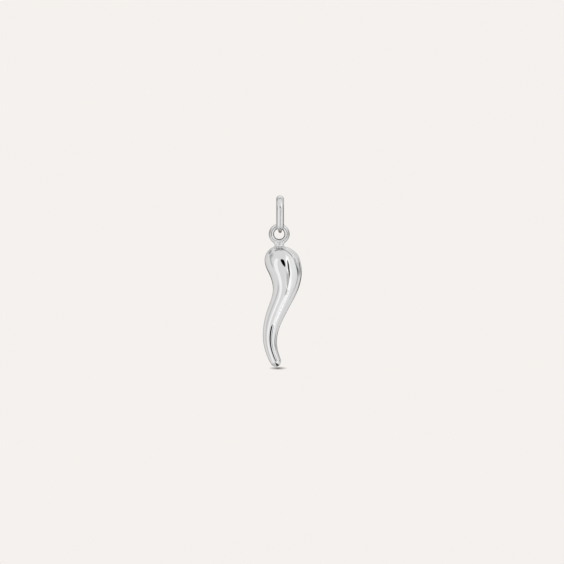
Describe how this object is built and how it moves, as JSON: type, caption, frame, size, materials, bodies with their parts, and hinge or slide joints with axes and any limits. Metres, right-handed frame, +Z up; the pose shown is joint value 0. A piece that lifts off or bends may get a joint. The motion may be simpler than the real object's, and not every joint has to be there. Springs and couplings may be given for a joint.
{
  "type": "horn pendant",
  "caption": "Small polished silver horn pendant with a wire ring soldered on its head, hanging in a closed bail for a fine chain.",
  "frame": {"origin": "the top of the bail's opening, on its inner face, where a chain lies when the pendant hangs", "axes": "+Z up along the hanging pendant, its longest extent; +X to the wearer's left as the pendant is seen from the front, across the ring's plane; +Y from the front to the back, its shortest extent"},
  "size_m": [0.0066, 0.0054, 0.0287],
  "materials": {
    "polished_silver": "mirror-polished sterling silver with fine handling marks"
  },
  "bodies": {
    "bail": {"bail": "polished_silver"},
    "horn": {"horn": "polished_silver"}
  },
  "joints": [
    {"name": "horn_swing", "type": "hinge", "parent": "bail", "child": "horn", "pos_m": [0, 0, -0.00533], "axis": [0, 1, 0], "range_deg": [-130, 130]}
  ]
}
